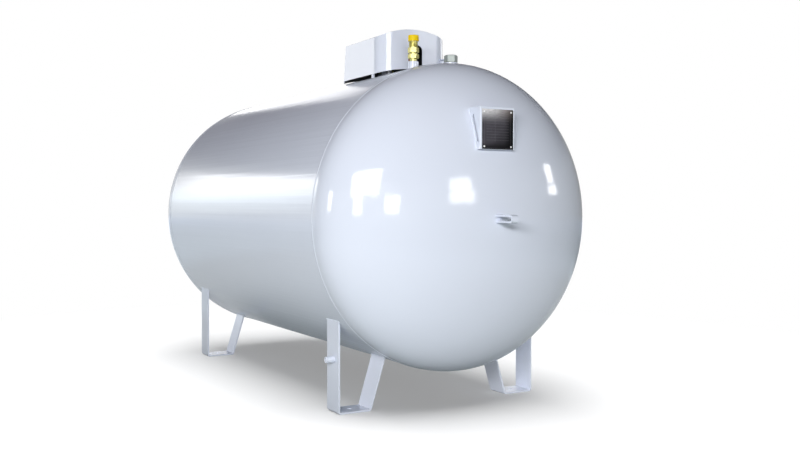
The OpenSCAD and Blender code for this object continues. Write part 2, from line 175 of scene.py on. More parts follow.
# Finishes
DULL_WHITE = (0.735, 0.78, 0.90)
CLEAN_WHITE = (0.765, 0.81, 0.925)
WELD_WHITE = (0.68, 0.72, 0.83)
PAINT_IOR = 1.52
PEEL_SCALE = 420
PEEL_STRENGTH = 0.25


def head_x(rise):
    """Place of the front head's surface along the tank, at a distance from the tank's axis."""
    return SEAM_X + FLANGE + HEAD_DEPTH*math.sqrt(1 - (rise/TANK_R)**2)


def shell_z(y):
    """Height of the shell's upper side at a distance from the tank's middle plane."""
    return AXIS_Z + math.sqrt(TANK_R**2 - y**2)


PLATE_X = head_x(BRACKET_Z - AXIS_Z) + BRACKET_GAP


# Shader maths


class Value:
    """A shader socket whose arithmetic adds Math nodes."""

    def __init__(self, tree, socket):
        self.tree = tree
        self.socket = socket

    def maths(self, operation, *terms):
        made = self.tree.nodes.new("ShaderNodeMath")
        made.operation = operation
        for place, term in zip(made.inputs, terms):
            if isinstance(term, Value):
                self.tree.links.new(term.socket, place)
            else:
                place.default_value = term
        return Value(self.tree, made.outputs[0])

    def __add__(self, other):
        return self.maths("ADD", self, other)

    def __radd__(self, other):
        return self.maths("ADD", other, self)

    def __sub__(self, other):
        return self.maths("SUBTRACT", self, other)

    def __rsub__(self, other):
        return self.maths("SUBTRACT", other, self)

    def __mul__(self, other):
        return self.maths("MULTIPLY", self, other)

    def __rmul__(self, other):
        return self.maths("MULTIPLY", other, self)

    def __lt__(self, other):
        return self.maths("LESS_THAN", self, other)

    def __gt__(self, other):
        return self.maths("GREATER_THAN", self, other)

    def fraction(self):
        return self.maths("FRACT", self)

    def size(self):
        return self.maths("ABSOLUTE", self)

    def either(self, other):
        return self.maths("MAXIMUM", self, other)

    def hypot(self, other):
        return self.maths("SQRT", self*self + other*other)


class Nodes:
    """A node tree to which nodes are added one by one."""

    def __init__(self, owner):
        owner.use_nodes = True
        self.tree = owner.node_tree

    def feed(self, socket, value):
        if isinstance(value, Value):
            self.tree.links.new(value.socket, socket)
        else:
            socket.default_value = value

    def node(self, kind, settings=None, sockets=None, out=0):
        made = self.tree.nodes.new("ShaderNode" + kind)
        for key, value in (settings or {}).items():
            if key == "stops":
                for spare in range(len(value) - len(made.color_ramp.elements)):
                    made.color_ramp.elements.new(1)
                for stop, (place, colour) in zip(made.color_ramp.elements, value):
                    stop.position = place
                    stop.color = colour
            else:
                setattr(made, key, value)
        for key, value in (sockets or {}).items():
            self.feed(made.inputs[key], value)
        return Value(self.tree, made.outputs[out])

    def mix(self, factor, first, second):
        """A colour between two colours."""
        return self.node("Mix", {"data_type": "RGBA"}, {0: factor, 6: first, 7: second}, 2)

    def times(self, first, second):
        """A colour times a colour."""
        settings = {"data_type": "RGBA", "blend_type": "MULTIPLY"}
        return self.node("Mix", settings, {0: 1.0, 6: first, 7: second}, 2)

    def place(self, scale=(1, 1, 1), move=(0, 0, 0)):
        """Object coordinates, moved and then stretched."""
        spot = self.node("TexCoord", out=3)
        spot = self.node("VectorMath", {"operation": "ADD"}, {0: spot, 1: move})
        return self.node("VectorMath", {"operation": "MULTIPLY"}, {0: spot, 1: scale})

    def axes(self, vector):
        """A vector's three lengths."""
        return [self.node("SeparateXYZ", None, {"Vector": vector}, place) for place in range(3)]

    def ramp(self, value, *stops):
        """A colour that changes at the stops of a ramp."""
        return self.node("ValToRGB", {"stops": stops}, {"Fac": value})

    def noise(self, vector, scale, detail=2.0):
        return self.node("TexNoise", None, {"Vector": vector, "Scale": scale, "Detail": detail})

    def fade(self, value, start, end):
        """A smooth rise from nought to one between two values."""
        return self.node("MapRange", {"interpolation_type": "SMOOTHSTEP"},
                         {"Value": value, "From Min": start, "From Max": end})

    def spread(self, value, low, high):
        """A value between nought and one, stretched to two limits."""
        return value*(high - low) + low


class Finish(Nodes):
    """A material on one Principled shader."""

    def __init__(self, name):
        self.material = bpy.data.materials.new(name)
        super().__init__(self.material)
        self.shader = self.tree.nodes["Principled BSDF"]

    def give(self, **sockets):
        for key, value in sockets.items():
            self.feed(self.shader.inputs[key.replace("_", " ")], value)

    def bump(self, height, distance, strength=1.0, normal=None):
        sockets = {"Height": height, "Distance": distance, "Strength": strength}
        if normal:
            sockets["Normal"] = normal
        return self.node("Bump", None, sockets)


def colour(red, green, blue):
    return (red, green, blue, 1)


def grey(level):
    return colour(level, level, level)


def white(paint, cloud):
    """The paint's white, a little uneven."""
    return paint.mix(cloud, colour(*DULL_WHITE), colour(*CLEAN_WHITE))


def peel(paint, depth, under):
    """The fine orange peel of sprayed paint, over a coarser bump."""
    return paint.bump(paint.noise(paint.place(), PEEL_SCALE), depth, PEEL_STRENGTH, under)


def white_paint():
    """Sprayed gloss white: a fine orange peel over slow waves."""
    paint = Finish("white_paint")
    tint = white(paint, paint.noise(paint.place(), 2.5, 3))
    streak = paint.noise(paint.place((0.6, 5, 5)), 3, 4)
    waves = paint.bump(streak, 0.0008, 0.35)
    paint.give(Base_Color=tint, Roughness=paint.spread(streak, 0.05, 0.12))
    paint.give(Normal=peel(paint, 0.00012, waves), IOR=PAINT_IOR)
    return paint.material


def shell_paint():
    """The same white on rolled plate, whose mill lines run along the tank and draw out its gloss."""
    paint = Finish("shell_paint")
    tint = white(paint, paint.noise(paint.place(), 2.5, 3))
    mill = paint.noise(paint.place((0.25, 26, 26)), 2, 5)
    waves = paint.bump(mill, 0.002, 0.4)
    paint.give(Base_Color=tint, Roughness=paint.spread(mill, 0.10, 0.22))
    paint.give(Normal=peel(paint, 0.00012, waves), IOR=PAINT_IOR)
    return paint.material


def weld_paint():
    """The same paint over the ripples of a weld."""
    paint = Finish("weld_paint")
    spot = paint.place()
    ripple = paint.noise(spot, 130)
    tint = paint.mix(paint.noise(spot, 60), colour(*WELD_WHITE), colour(*CLEAN_WHITE))
    paint.give(Base_Color=tint, Roughness=paint.spread(ripple, 0.1, 0.2))
    paint.give(Normal=paint.bump(ripple, 0.0009, 0.45), IOR=PAINT_IOR)
    return paint.material


def hood_paint():
    """Gloss white on thin pressed sheet, smoother than on the rolled plate, with its inside painted
    near-black as painted shade.
    """
    paint = Finish("hood_paint")
    spot = paint.place()
    cloud = paint.noise(spot, 6, 3)
    # Painted shade: the inner faces are near-black so that the gap under the hood reads dark.
    inside_painted_shade = paint.mix(cloud, colour(0.045, 0.046, 0.05), colour(0.065, 0.066, 0.07))
    x, y, z = paint.axes(spot)
    skin = 0.9*HOOD_T
    past_x = (x - (HOOD_FRONT - HOOD_CORNER)).either(0)
    past_y = (y.size() - (HOOD_W/2 - HOOD_CORNER)).either(0)
    walls = past_x.hypot(past_y) < HOOD_CORNER - skin
    roof = y.hypot(z - (RIDGE_Z - ROOF_R)) < ROOF_R - skin
    back = (x - (z - CROWN_Z)*math.tan(HOOD_LEAN)) > HOOD_BACK + skin
    inside = walls*roof*back
    dents = paint.bump(paint.noise(spot, 9), 0.0016, 0.3)
    gloss = paint.spread(cloud, 0.04, 0.09)
    paint.give(Base_Color=paint.mix(inside, white(paint, cloud), inside_painted_shade), Roughness=gloss.either(inside*0.6))
    paint.give(Normal=peel(paint, 0.0001, dents), IOR=PAINT_IOR)
    return paint.material


def brass():
    """Turned brass with fine tool rings and a light tarnish."""
    metal = Finish("brass")
    tarnish = metal.noise(metal.place(), 55, 4)
    rings = metal.noise(metal.place((1, 1, 40)), 60)
    tint = metal.mix(tarnish, colour(0.76, 0.71, 0.31), colour(0.66, 0.60, 0.22))
    metal.give(Base_Color=tint, Roughness=metal.spread(tarnish, 0.30, 0.44))
    metal.give(Normal=metal.bump(rings, 0.0002, 0.35), Metallic=1.0)
    return metal.material


def zinc_steel():
    """Zinc-plated steel with the slow bloom of its plating."""
    metal = Finish("zinc_steel")
    bloom = metal.noise(metal.place(), 70, 4)
    grain = metal.noise(metal.place((1, 1, 12)), 260)
    tint = metal.mix(bloom, colour(0.50, 0.55, 0.53), colour(0.40, 0.44, 0.42))
    metal.give(Base_Color=tint, Roughness=metal.spread(bloom, 0.42, 0.58))
    metal.give(Normal=metal.bump(grain, 0.00015, 0.4), Metallic=0.45)
    return metal.material


def plate_metal():
    """Etched dark plate, ruled into the plain rows of a form, with a painted reflection towards its upper
    left corner and a painted sheen in its middle that darkens to the right and bottom.
    """
    metal = Finish("plate_metal")
    spot = metal.place(move=(0, 0, -BRACKET_Z - (BRACKET_H + PLATE_LOW - PLATE_MARGIN)/2))
    y, z = metal.axes(spot)[1:]
    rule = (z*(1/FORM_ROW)).fraction() < FORM_LINE/FORM_ROW
    split = (y + FORM_SPLIT).size() < FORM_LINE/2
    form = (y.size() < FORM_W/2)*(z.size() < FORM_H/2)
    border_y = (y.size() - BORDER_W/2).size() < FORM_LINE/2
    border_z = (z.size() - BORDER_H/2).size() < FORM_LINE/2
    within = (y.size() < BORDER_W/2 + BORDER_END)*(z.size() < BORDER_H/2 + BORDER_END)
    ruled = (rule.either(split)*form).either(border_y.either(border_z)*within)
    cloud = metal.noise(spot, 28, 4)
    grain = metal.noise(metal.place((1, 1, 30)), 300)
    # Painted reflection: lighter, streaked and brownish towards the upper left corner.
    reflection_streaks = metal.noise(metal.place((1, 30, 160)), 2, 4)
    rising = metal.fade(z, 0.005, 0.080)
    painted_reflection = rising*rising*metal.fade(y, 0.105, -0.05)*(reflection_streaks*1.1 + 0.45)
    # Painted sheen: a lighter middle that darkens to near-black towards the right and bottom.
    middle = metal.fade(z, -0.078, -0.045)*metal.fade(y, 0.070, 0.025)
    slant = metal.fade(y - z, 0.16, -0.04)
    painted_sheen = middle*slant*(cloud*0.7 + 0.6)
    etched_with_sheen = metal.mix(painted_sheen, colour(0.004, 0.004, 0.005), colour(0.085, 0.08, 0.095))
    reflection_tone = metal.mix(metal.fade(y, -0.02, 0.07), colour(0.80, 0.79, 0.80), colour(0.66, 0.56, 0.52))
    tint = metal.mix(ruled*0.2, metal.mix(painted_reflection, etched_with_sheen, reflection_tone), colour(0.42, 0.41, 0.44))
    lines = metal.bump(ruled, 0.0002, 0.5)
    metal.give(Base_Color=tint, Roughness=metal.spread(cloud, 0.24, 0.42))
    metal.give(Normal=metal.bump(grain, 0.00008, 0.4, lines), Metallic=0.55, Specular_IOR_Level=0.15)
    return metal.material


def moulded(name, light, dark, gloss):
    """Moulded plastic with a fine even grain."""
    plastic = Finish(name)
    spot = plastic.place()
    cloud = plastic.noise(spot, 40, 3)
    grain = plastic.noise(spot, 900)
    plastic.give(Base_Color=plastic.mix(cloud, colour(*dark), colour(*light)))
    plastic.give(Roughness=plastic.spread(cloud, gloss, gloss + 0.14))
    plastic.give(Normal=plastic.bump(grain, 0.0001, 0.3), Specular_IOR_Level=0.2)
    return plastic.material


def rivet_metal():
    """Bright aluminium rivet heads, lightly brushed."""
    metal = Finish("rivet_metal")
    cloud = metal.noise(metal.place(), 240, 3)
    metal.give(Base_Color=metal.mix(cloud, colour(0.92, 0.93, 0.95), colour(0.97, 0.97, 0.98)))
    metal.give(Roughness=metal.spread(cloud, 0.25, 0.45))
    metal.give(Normal=metal.bump(cloud, 0.0001, 0.3), Metallic=0.05)
    return metal.material


PAINT = white_paint()
SHELL_PAINT = shell_paint()
WELD_PAINT = weld_paint()
HOOD_PAINT = hood_paint()
BRASS = brass()
ZINC = zinc_steel()
PLATE = plate_metal()
RIVET = rivet_metal()
YELLOW = moulded("yellow_plastic", (0.90, 0.69, 0.006), (0.84, 0.58, 0.004), 0.32)
BLACK = moulded("black_plastic", (0.035, 0.035, 0.037), (0.02, 0.02, 0.021), 0.36)
FACE = moulded("dial_face", (0.80, 0.80, 0.78), (0.74, 0.74, 0.72), 0.4)
RED = moulded("red_plastic", (0.62, 0.03, 0.025), (0.50, 0.02, 0.018), 0.25)


# Modelling


def deselect():
    bpy.ops.object.select_all(action="DESELECT")


def hold(piece):
    """Makes a piece the only selected and active one."""
    deselect()
    piece.select_set(True)
    bpy.context.view_layer.objects.active = piece


def started(name):
    """Names the primitive just added and puts its place into its mesh."""
    piece = bpy.context.object
    piece.name = name
    piece.data.name = name
    bpy.ops.object.transform_apply(location=True, rotation=True, scale=True)
    return piece


def edit(piece):
    hold(piece)
    bpy.ops.object.mode_set(mode="EDIT")


def placed(piece, place, turn):
    """Turns and moves a piece, and puts its place into its mesh."""
    piece.rotation_euler = turn
    piece.location = place
    hold(piece)
    bpy.ops.object.transform_apply(location=True, rotation=True, scale=True)
    return piece


def leave():
    bpy.ops.object.mode_set(mode="OBJECT")


def pick(kind, test):
    """Selects, in edit mode, the faces or edges that pass a test on their middle and normal or run."""
    bpy.ops.mesh.select_mode(type=kind)
    bpy.ops.mesh.select_all(action="DESELECT")
    data = bpy.context.edit_object.data
    mesh = bmesh.from_edit_mesh(data)
    if kind == "FACE":
        for face in mesh.faces:
            face.select_set(test(face.calc_center_median(), face.normal))
    else:
        for edge in mesh.edges:
            first, second = (corner.co for corner in edge.verts)
            edge.select_set(test((first + second)/2, (second - first).normalized()))
    bmesh.update_edit_mesh(data)


def tidy_mesh():
    """Merges doubles and turns the faces outwards, in edit mode."""
    bpy.ops.mesh.select_all(action="SELECT")
    bpy.ops.mesh.remove_doubles(threshold=MERGE)
    bpy.ops.mesh.normals_make_consistent(inside=False)


def modify(piece, kind, **settings):
    """Adds a modifier, sets it and applies it."""
    hold(piece)
    added = piece.modifiers.new(kind.lower(), kind)
    for key, value in settings.items():
        setattr(added, key, value)
    bpy.ops.object.modifier_apply(modifier=added.name)


def trim(piece, tool, operation="DIFFERENCE"):
    """Cuts a piece with a tool, which is then thrown away."""
    modify(piece, "BOOLEAN", object=tool, operation=operation, solver="EXACT")
    bpy.data.objects.remove(tool)


def ease(piece, width, segments=2, angle=40):
    """Rounds a piece's sharp edges."""
    modify(piece, "BEVEL", width=width, segments=segments, limit_method="ANGLE",
           angle_limit=math.radians(angle), miter_outer="MITER_ARC", harden_normals=False)


def rounded(piece, test, radius, segments):
    """Rounds the edges that pass a test."""
    edit(piece)
    pick("EDGE", test)
    bpy.ops.mesh.bevel(offset=radius, segments=segments, affect="EDGES")
    leave()


def smooth(piece, angle=35):
    hold(piece)
    bpy.ops.object.shade_smooth_by_angle(angle=math.radians(angle))


def line(name, points):
    """Draws a line through points, one extruded vertex after another, and stays in edit mode."""
    deselect()
    bpy.ops.mesh.primitive_plane_add(size=MERGE, location=points[0])
    piece = started(name)
    bpy.ops.object.mode_set(mode="EDIT")
    bpy.ops.mesh.select_mode(type="VERT")
    bpy.ops.mesh.select_all(action="SELECT")
    bpy.ops.mesh.merge(type="CENTER")
    for here, there in zip(points, points[1:]):
        step = Vector(there) - Vector(here)
        bpy.ops.mesh.extrude_region_move(TRANSFORM_OT_translate={"value": step})
    return piece


def eased(profile, radius, steps=3):
    """A profile whose inner corners are rounded."""
    points = [Vector(point) for point in profile]
    made = [points[0]]
    for before, corner, after in zip(points, points[1:], points[2:]):
        cut = min(radius, 0.45*(before - corner).length, 0.45*(after - corner).length)
        start = corner + cut*(before - corner).normalized()
        end = corner + cut*(after - corner).normalized()
        for step in range(steps + 1):
            part = step/steps
            made.append((1 - part)**2*start + 2*part*(1 - part)*corner + part**2*end)
    made.append(points[-1])
    return [tuple(point) for point in made]


def drum(low, high, radius):
    """The profile of a plain drum between two heights."""
    return [(low, 0), (low, radius), (high, radius), (high, 0)]


def turned(name, profile, base, axis=UP, side=ALONG, steps=SMALL_ROUND):
    """Spins a profile of distances along and from an axis."""
    base = Vector(base)
    points = [base + axis*run + side*radius for run, radius in profile]
    piece = line(name, points)
    bpy.ops.mesh.select_all(action="SELECT")
    bpy.ops.mesh.spin(steps=steps, angle=math.tau, center=base, axis=axis)
    tidy_mesh()
    leave()
    return piece


def lathed(name, profile, base, axis=UP, side=ALONG, steps=SMALL_ROUND):
    """A turned piece with crisp corners."""
    piece = turned(name, profile, base, axis, side, steps)
    smooth(piece, CRISP)
    return piece


def block(name, low, high):
    """A cube between two corners."""
    low, high = Vector(low), Vector(high)
    deselect()
    bpy.ops.mesh.primitive_cube_add(size=1, location=(low + high)/2, scale=high - low)
    return started(name)


def rod(name, base, axis, radius, length, vertices=SMALL_ROUND):
    """A cylinder from a base along an axis."""
    base = Vector(base)
    deselect()
    turn = UP.rotation_difference(axis).to_euler()
    bpy.ops.mesh.primitive_cylinder_add(radius=radius, depth=length, vertices=vertices,
                                        location=base + axis*length/2, rotation=turn)
    return started(name)


def join(name, *pieces):
    """Joins pieces into one under a new name."""
    hold(pieces[0])
    for piece in pieces[1:]:
        piece.select_set(True)
    bpy.ops.object.join()
    pieces[0].name = name
    pieces[0].data.name = name
    return pieces[0]


def copied(piece, name, scale=(1, 1, 1), move=(0, 0, 0)):
    """A copy with its own mesh, moved or turned to the other hand."""
    hold(piece)
    bpy.ops.object.duplicate(linked=False)
    twin = bpy.context.object
    twin.name = name
    twin.data.name = name
    twin.scale = scale
    twin.location = move
    bpy.ops.object.transform_apply(location=True, rotation=True, scale=True)
    if scale[0]*scale[1]*scale[2] < 0:
        edit(twin)
        bpy.ops.mesh.select_all(action="SELECT")
        bpy.ops.mesh.flip_normals()
        leave()
    return twin


def fit(piece, body, slot, finish, *nodes):
    """Gives a piece its finish, its body and the solids that it stands for, with its large faces flat."""
    modify(piece, "WEIGHTED_NORMAL", keep_sharp=True)
    piece.data.materials.clear()
    piece.data.materials.append(finish)
    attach(piece, body)
    if nodes:
        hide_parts(*nodes)
    return piece


def bead(name, points, radius, closed=True):
    """A weld bead along a line of points."""
    piece = line(name, points)
    if closed:
        bpy.ops.mesh.select_all(action="SELECT")
        bpy.ops.mesh.remove_doubles(threshold=MERGE)
    leave()
    hold(piece)
    bpy.ops.object.convert(target="CURVE")
    piece.data.bevel_depth = radius
    piece.data.bevel_resolution = 2
    piece.data.use_fill_caps = not closed
    bpy.ops.object.convert(target="MESH")
    edit(piece)
    tidy_mesh()
    leave()
    smooth(piece, SOFT)
    return piece


def ring_on_shell(centre, radius, steps=48):
    """Points round an upright pipe where it meets the shell."""
    points = []
    for step in range(steps + 1):
        angle = math.tau*step/steps
        x = centre.x + radius*math.cos(angle)
        y = centre.y + radius*math.sin(angle)
        points.append((x, y, shell_z(y)))
    return points


def hexed(name, base, flats, height):
    """A hex bar with both ends turned to a cone."""
    corner = flats/2/math.cos(math.pi/6)
    deselect()
    bpy.ops.mesh.primitive_cylinder_add(radius=corner, depth=height, vertices=6,
                                        location=base + UP*height/2, rotation=(0, 0, math.pi/6))
    piece = started(name)
    end = flats/2*HEX_END
    fall = (corner - end)*math.tan(math.radians(30))
    wide = corner*1.002
    profile = [(0, 0), (0, end), (fall, wide), (height - fall, wide), (height, end), (height, 0)]
    trim(piece, turned("barrel", profile, base, steps=FINE_ROUND), "INTERSECT")
    ease(piece, HEX_EDGE, 2, 45)
    smooth(piece, CRISP)
    return piece


def dome(radius, depth):
    """A head's profile from its weld to its tip."""
    points = [(0, radius)]
    for step in range(DOME_STEPS + 1):
        angle = math.pi/2*step/DOME_STEPS
        points.append((FLANGE + depth*math.sin(angle), radius*math.cos(angle)))
    return points


def tank_tool(name, radius=TANK_R, length=2*SEAM_X):
    """A solid bar along the tank, to cut with."""
    return rod(name, AXIS - ALONG*length/2, ALONG, radius, length, ROUND)


def head_tool(name):
    """The space of the front head, to cut with."""
    return turned(name, dome(TANK_R, HEAD_DEPTH) + [(0, 0), (0, TANK_R)],
                  AXIS + ALONG*SEAM_X, ALONG, UP, 128)


# Tank


def shell():
    inner = TANK_R - WALL
    profile = [(-SEAM_X, TANK_R), (SEAM_X, TANK_R), (SEAM_X, inner), (-SEAM_X, inner), (-SEAM_X, TANK_R)]
    piece = turned("tank_shell", profile, AXIS, ALONG, UP, ROUND)
    smooth(piece)
    fit(piece, "tank", "white_paint", SHELL_PAINT, "shell")


def heads():
    outer = dome(TANK_R, HEAD_DEPTH)
    inner = dome(TANK_R - WALL, HEAD_DEPTH - WALL)
    base = AXIS + ALONG*SEAM_X
    piece = turned("front_dome", outer + inner[::-1] + outer[:1], base, ALONG, UP, ROUND)
    smooth(piece)
    back = copied(piece, "back_dome", (-1, 1, 1))
    fit(piece, "tank", "white_paint", PAINT, "front_head")
    fit(back, "tank", "white_paint", PAINT, "back_head")


def girth_welds():
    steps = 16
    profile = []
    for step in range(steps + 1):
        part = 2*step/steps - 1
        profile.append((SEAM_W/2*part, TANK_R + SEAM_H/2*(1 + math.cos(math.pi*part))))
    profile.append(profile[0])
    piece = turned("front_weld", profile, AXIS + ALONG*SEAM_X, ALONG, UP, ROUND)
    smooth(piece, SOFT)
    back = copied(piece, "back_weld", (-1, 1, 1))
    fit(piece, "tank", "white_paint", WELD_PAINT, "front_seam")
    fit(back, "tank", "white_paint", WELD_PAINT, "back_seam")


def arc(centre, radius, start, end, across):
    """Points of a bend in the upright plane of one direction."""
    steps = 10
    points = []
    for step in range(steps + 1):
        angle = start + (end - start)*step/steps
        points.append(centre + radius*(math.cos(angle)*across + math.sin(angle)*UP))
    return points


def strap(name, path, run, thickness):
    """A flat bar bent along the path of its outer face and drawn out sideways."""
    piece = line(name, path)
    bpy.ops.mesh.select_all(action="SELECT")
    bpy.ops.mesh.extrude_region_move(TRANSFORM_OT_translate={"value": run})
    tidy_mesh()
    leave()
    middle = sum(path, Vector())/len(path) + run/2
    outwards = sum((face.center - middle).dot(face.normal)*face.area for face in piece.data.polygons)
    modify(piece, "SOLIDIFY", thickness=thickness, offset=-1 if outwards > 0 else 1)
    return piece


def leg_path():
    """The outer face of a leg's bar, from the shell down, under the foot and up to the shell."""
    x = LEG_X - LEG_W/2
    outer = Vector((x, LEG_OUT - LEG_BEND, LEG_BEND))
    inner = Vector((x, LEG_OUT - FOOT_L + LEG_BEND, LEG_BEND))
    points = [Vector((x, LEG_OUT, LEG_TOP))]
    points += arc(outer, LEG_BEND, 0, -math.pi/2, ACROSS)
    points += arc(inner, LEG_BEND, -math.pi/2, LEG_LEAN - math.pi, ACROSS)
    points.append(points[-1] + LEG_SPARE*Vector((0, -math.sin(LEG_LEAN), math.cos(LEG_LEAN))))
    return points


def legs():
    right = strap("front_right_strap", leg_path(), ALONG*LEG_W, LEG_T)
    trim(right, tank_tool("tank_bar"))
    trim(right, rod("bolt_hole", (LEG_X, FOOT_HOLE_Y, -LEG_T), UP, FOOT_HOLE_D/2, 3*LEG_T))
    ease(right, LEG_EDGE, 2, 50)
    smooth(right)
    left = copied(right, "front_left_strap", (1, -1, 1))
    back_right = copied(right, "back_right_strap", (-1, 1, 1))
    back_left = copied(right, "back_left_strap", (-1, -1, 1))
    fit(right, "tank", "white_paint", PAINT, "front_right_leg")
    fit(left, "tank", "white_paint", PAINT, "front_left_leg")
    fit(back_right, "tank", "white_paint", PAINT, "back_right_leg")
    fit(back_left, "tank", "white_paint", PAINT, "back_left_leg")
    return right


def earthing_boss():
    hole = BOSS_HOLE_D/2
    end = BOSS_L - BOSS_HOLE_L
    profile = [(0, 0), (0, BOSS_D/2), (BOSS_L, BOSS_D/2), (BOSS_L, hole + BOSS_RIM)]
    profile += [(BOSS_L - BOSS_RIM, hole), (end, hole), (end - BOSS_POINT, 0)]
    piece = turned("earthing_stud", eased(profile, BOSS_EDGE), BOSS, -ACROSS, UP)
    smooth(piece)
    fit(piece, "tank", "white_paint", PAINT, "earthing_boss")


def lugs():
    root = Vector((TIP_X - LUG_H, -LUG_W/2, AXIS_Z))
    bend = Vector((TIP_X + LUG_L - LUG_BEND, -LUG_W/2, AXIS_Z))
    rise = LUG_H/2 - LUG_BEND
    path = [root + UP*LUG_H/2]
    path += arc(bend + UP*rise, LUG_BEND, math.pi/2, 0, ALONG)
    path += arc(bend - UP*rise, LUG_BEND, 0, -math.pi/2, ALONG)
    path.append(root - UP*LUG_H/2)
    piece = strap("front_loop", path, ACROSS*LUG_W, LUG_T)
    trim(piece, head_tool("head_space"))
    ease(piece, LUG_EDGE, 3, 50)
    smooth(piece)
    back = copied(piece, "back_loop", (-1, 1, 1))
    fit(piece, "tank", "white_paint", PAINT, "front_lug")
    fit(back, "tank", "white_paint", PAINT, "back_lug")


def side_slots():
    """The slot through both sides of the bracket, along the head's slope, to cut with."""
    rise = SIDE_SLOT_Z - AXIS_Z
    lean = math.atan(rise*(HEAD_DEPTH/TANK_R)**2/(head_x(rise) - SEAM_X - FLANGE))
    corner = Vector((SIDE_SLOT_W/2, BRACKET_W, SIDE_SLOT_L/2))
    slot = block("side_slot", -corner, corner)
    rounded(slot, lambda middle, run: abs(run.y) > FACING, SIDE_SLOT_W/2*0.98, 8)
    return placed(slot, Vector((head_x(rise) + SIDE_SLOT_IN, 0, SIDE_SLOT_Z)), (0, -lean, 0))


def plate_holder():
    """The bracket, folded from sheet and cut to the head."""
    half = BRACKET_W/2
    holder = block("plate_holder", (SEAM_X, -half, BRACKET_Z), (PLATE_X, half, BRACKET_Z + BRACKET_H))
    edit(holder)
    pick("FACE", lambda middle, normal: abs(normal.z) > FACING or normal.x < -FACING)
    bpy.ops.mesh.delete(type="FACE")
    leave()
    rounded(holder, lambda middle, run: middle.x > PLATE_X - MERGE and abs(run.z) > FACING, BRACKET_BEND, 5)
    modify(holder, "SOLIDIFY", thickness=BRACKET_T, offset=-1)
    trim(holder, head_tool("head_space"))
    trim(holder, side_slots())
    ease(holder, BRACKET_EDGE, 2, 50)
    smooth(holder)
    fit(holder, "tank", "white_paint", PAINT, "plate_bracket")


def data_plate():
    edge = BRACKET_W/2 - PLATE_MARGIN
    low = BRACKET_Z + PLATE_LOW
    high = BRACKET_Z + BRACKET_H - PLATE_MARGIN
    face = PLATE_X + PLATE_T
    plate = block("etched_plate", (PLATE_X, -edge, low), (face, edge, high))
    rounded(plate, lambda middle, run: abs(run.x) > FACING, PLATE_CORNER, 5)
    ease(plate, PLATE_EDGE, 2, 50)
    smooth(plate)
    fit(plate, "tank", "dark_metal", PLATE, "data_plate")

    steps = 6
    profile = [(0, 0), (0, RIVET_D/2)]
    for step in range(steps + 1):
        angle = math.pi/2*step/steps
        profile.append((RIVET_H*(0.2 + 0.8*math.sin(angle)), RIVET_D/2*math.cos(angle)))
    made = []
    for y in (-1, 1):
        for z in (low + RIVET_EDGE, high - RIVET_EDGE):
            base = Vector((face, y*(edge - RIVET_EDGE), z))
            if made:
                made.append(copied(made[0], "rivet_head", move=base - first))
            else:
                first = base
                made.append(turned("rivet_heads", profile, base, ALONG, UP, 24))
    rivets = join("rivet_heads", *made)
    smooth(rivets, 50)
    fit(rivets, "tank", "white_paint", RIVET, "plate_rivets")


def coupling(name, node, centre, diameter, height, bore):
    """A weld coupling cut to the shell, with its bead; gives the middle of its top."""
    radius = diameter/2
    profile = [(-diameter, 0), (-diameter, radius), (height, radius)]
    profile += [(height, bore), (height - SOCKET_DEPTH, bore), (height - SOCKET_DEPTH, 0)]
    piece = turned(name, eased(profile, SOCKET_EDGE), centre)
    trim(piece, tank_tool("tank_bar"))
    smooth(piece)
    fit(piece, "tank", "white_paint", PAINT, node)
    weld = bead(name + "_weld", ring_on_shell(centre, radius), SOCKET_BEAD)
    fit(weld, "tank", "white_paint", WELD_PAINT)
    return centre + UP*height


def thread(start, end, radius, pitch=THREAD_PITCH, depth=THREAD_DEPTH):
    """A profile of thread ridges between two heights."""
    turns = int((end - start)/pitch)
    step = (end - start)/turns
    points = []
    for turn in range(turns):
        low = start + turn*step
        points += [(low, radius - depth), (low + step*0.35, radius), (low + step*0.65, radius)]
    return points + [(end, radius - depth)]


def filling_valve():
    base = coupling("fill_socket", "fill_coupling", FILL, 0.044, 0.022, 0.0155)
    foot = lathed("foot", eased(drum(-0.003, 0.011, 0.015), 0.0006), base)
    lower = hexed("lower_hex", base + UP*0.011, 0.040, 0.020)
    groove = lathed("groove", drum(0.030, 0.035, 0.017), base)
    upper = hexed("upper_hex", base + UP*0.034, 0.040, 0.024)
    profile = [(0.057, 0), (0.057, 0.0175)] + thread(0.060, 0.100, 0.0185) + [(0.102, 0.017), (0.102, 0)]
    neck = lathed("neck", profile, base)
    valve = join("filling_valve", foot, lower, groove, upper, neck)
    fit(valve, "tank", "brass", BRASS, "fill_valve")

    low = 0.084
    high = 0.108
    top = 0.005
    outer = 0.0222
    inner = 0.0187
    ribs = 36
    rib_depth = 0.0005
    profile = eased([(low, inner), (low, outer), (high, outer), (high, 0)], 0.0025, 4)
    profile += [(high - top, 0), (high - top, inner), (low, inner)]
    cap = turned("filling_cap", profile, base, steps=2*ribs)

    def rib(middle, normal):
        around = math.atan2(middle.y - base.y, middle.x - base.x)/math.tau*ribs*2
        side = abs(normal.z) < 0.1 and (middle - base).xy.length > outer*0.98
        return side and math.floor(around) % 2 == 0

    edit(cap)
    pick("FACE", rib)
    bpy.ops.mesh.extrude_faces_move(TRANSFORM_OT_shrink_fatten={"value": -rib_depth})
    leave()
    smooth(cap, CRISP)
    fit(cap, "tank", "yellow_plastic", YELLOW, "fill_cap")


def plug():
    base = coupling("plug_socket", "plug_coupling", PLUG, 0.060, 0.030, 0.0235)
    shank = turned("shank", drum(-0.004, 0.001, 0.0225), base)
    head = hexed("plug_hex", base, 0.050, 0.032)
    edit(head)
    pick("FACE", lambda middle, normal: normal.z > FACING and middle.z > base.z + 0.031)
    bpy.ops.mesh.inset(thickness=0.006)
    bpy.ops.mesh.extrude_region_move(TRANSFORM_OT_translate={"value": -UP*0.0012})
    leave()
    smooth(head, CRISP)
    fit(join("plug_head", head, shank), "tank", "zinc_steel", ZINC, "hex_plug")


# Hood


